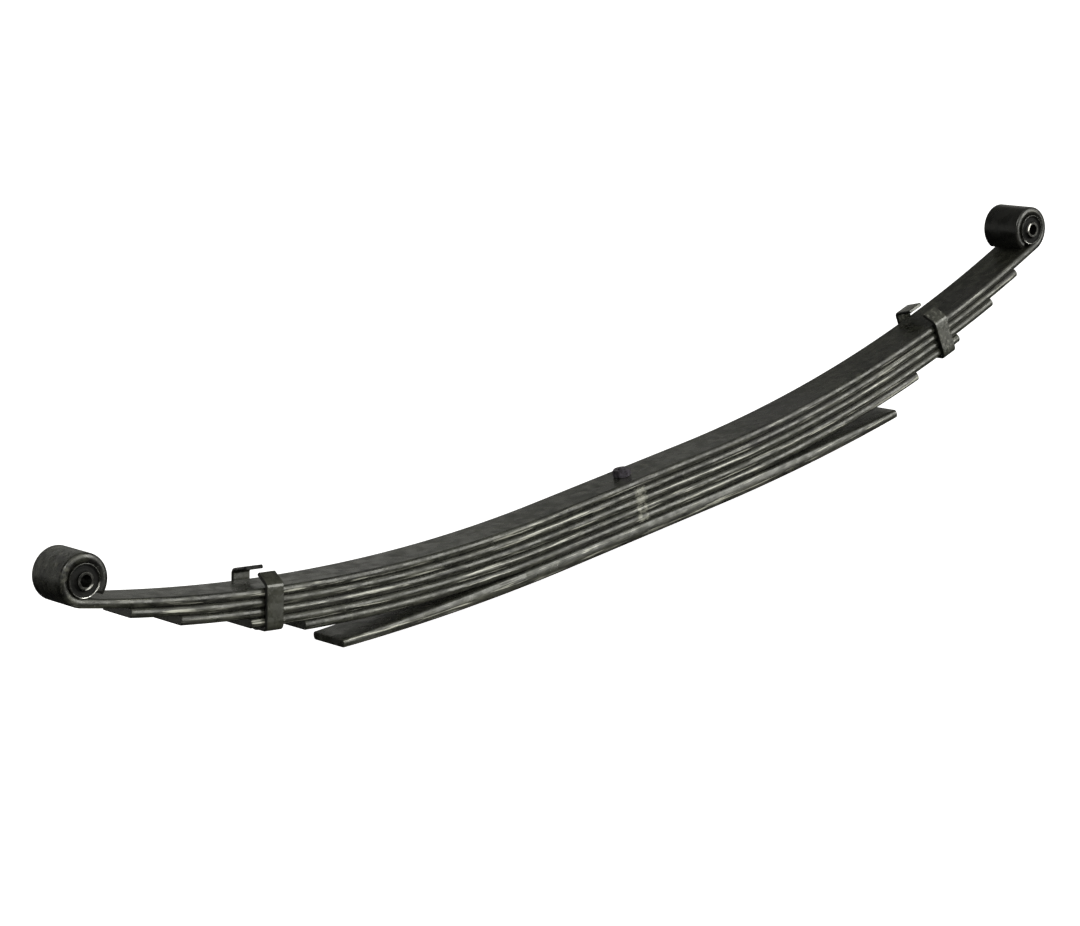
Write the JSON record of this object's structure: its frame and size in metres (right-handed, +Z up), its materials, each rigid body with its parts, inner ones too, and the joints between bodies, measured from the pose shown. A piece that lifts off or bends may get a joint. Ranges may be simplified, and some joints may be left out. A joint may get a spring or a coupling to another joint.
{
  "type": "leaf spring",
  "caption": "Arched multi-leaf truck spring with upturned bushed eyes, a tapered overload leaf at the bottom, a centre bolt and riveted rebound clips.",
  "frame": {"origin": "on the centre bolt's axis, in the plane of the pack's underside, where the spring sits on the axle", "axes": "+X along the spring towards the rear eye, +Y across the spring along the eye bores, +Z up from the seat towards the eyes"},
  "size_m": [1.6874, 0.0758, 0.2588],
  "materials": {
    "leaf_paint": "semi-gloss black enamel with a faint olive cast",
    "clip_paint": "semi-gloss black enamel",
    "bolt_steel": "dark phosphate",
    "shell_steel": "satin, overpainted",
    "sleeve_steel": "turned",
    "bushing_rubber": "matt black",
    "button_plastic": "matt natural"
  },
  "bodies": {
    "seat": {"main_leaf": "leaf_paint", "second_leaf": "leaf_paint", "third_leaf": "leaf_paint", "fourth_leaf": "leaf_paint", "fifth_leaf": "leaf_paint", "overload_leaf": "leaf_paint", "centre_bolt": "bolt_steel", "centre_nut": "bolt_steel"},
    "front_half": {"front_bushing_shell": "shell_steel", "front_bushing_rubber": "bushing_rubber", "front_clip": "clip_paint", "front_clip_rivet": "clip_paint", "front_tip_buttons": "button_plastic"},
    "rear_half": {"rear_bushing_shell": "shell_steel", "rear_bushing_rubber": "bushing_rubber", "rear_clip": "clip_paint", "rear_clip_rivet": "clip_paint", "rear_tip_buttons": "button_plastic"},
    "front_sleeve": {"front_inner_sleeve": "sleeve_steel"},
    "rear_sleeve": {"rear_inner_sleeve": "sleeve_steel"}
  },
  "joints": [
    {"name": "front_flex", "type": "hinge", "parent": "seat", "child": "front_half", "pos_m": [-0.131, 0, 0.068], "axis": [0, -1, 0], "range_deg": [0, 9.5], "stiffness_Nm_per_rad": 15500, "deforming": ["main_leaf", "second_leaf", "third_leaf", "fourth_leaf", "fifth_leaf", "overload_leaf"]},
    {"name": "rear_flex", "type": "hinge", "parent": "seat", "child": "rear_half", "pos_m": [0.131, 0, 0.068], "axis": [0, 1, 0], "range_deg": [-0.5, 9.5], "stiffness_Nm_per_rad": 14500, "deforming": ["main_leaf", "second_leaf", "third_leaf", "fourth_leaf", "fifth_leaf", "overload_leaf"]},
    {"name": "front_sleeve_twist", "type": "hinge", "parent": "front_half", "child": "front_sleeve", "pos_m": [-0.83027, 0, 0.22076], "axis": [0, 1, 0], "range_deg": [-20, 20], "stiffness_Nm_per_rad": 60},
    {"name": "rear_sleeve_twist", "type": "hinge", "parent": "rear_half", "child": "rear_sleeve", "pos_m": [0.79208, 0, 0.20766], "axis": [0, 1, 0], "range_deg": [-20, 20], "stiffness_Nm_per_rad": 60}
  ],
  "couplings": [
    {"joint": "rear_flex", "follows": "front_flex", "ratio": 0.943}
  ]
}
